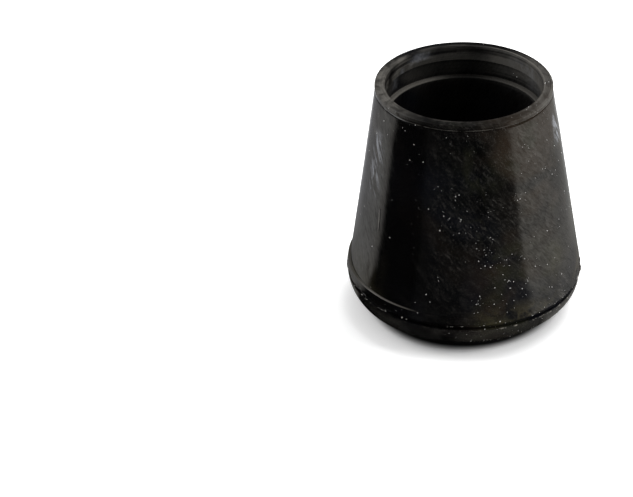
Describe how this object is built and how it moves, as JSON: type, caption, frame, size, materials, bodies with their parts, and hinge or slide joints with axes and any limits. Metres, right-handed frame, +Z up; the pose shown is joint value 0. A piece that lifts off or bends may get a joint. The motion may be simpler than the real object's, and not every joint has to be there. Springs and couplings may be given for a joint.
{
  "type": "furniture leg tip",
  "caption": "One-piece moulded rubber tip for a round tubular furniture leg: tapered body, round socket, beaded base and a ribbed recess inside the ring it stands on.",
  "frame": {"origin": "on the axis of the tip, in the plane of the ring it stands on", "axes": "+Z up along the axis, from the standing ring towards the open mouth; the tip is round, so +X and +Y are free"},
  "size_m": [0.0352, 0.0352, 0.037],
  "materials": {
    "rubber": "semi-gloss moulded black rubber"
  },
  "bodies": {
    "root": {"leg_tip": "rubber"}
  },
  "joints": []
}
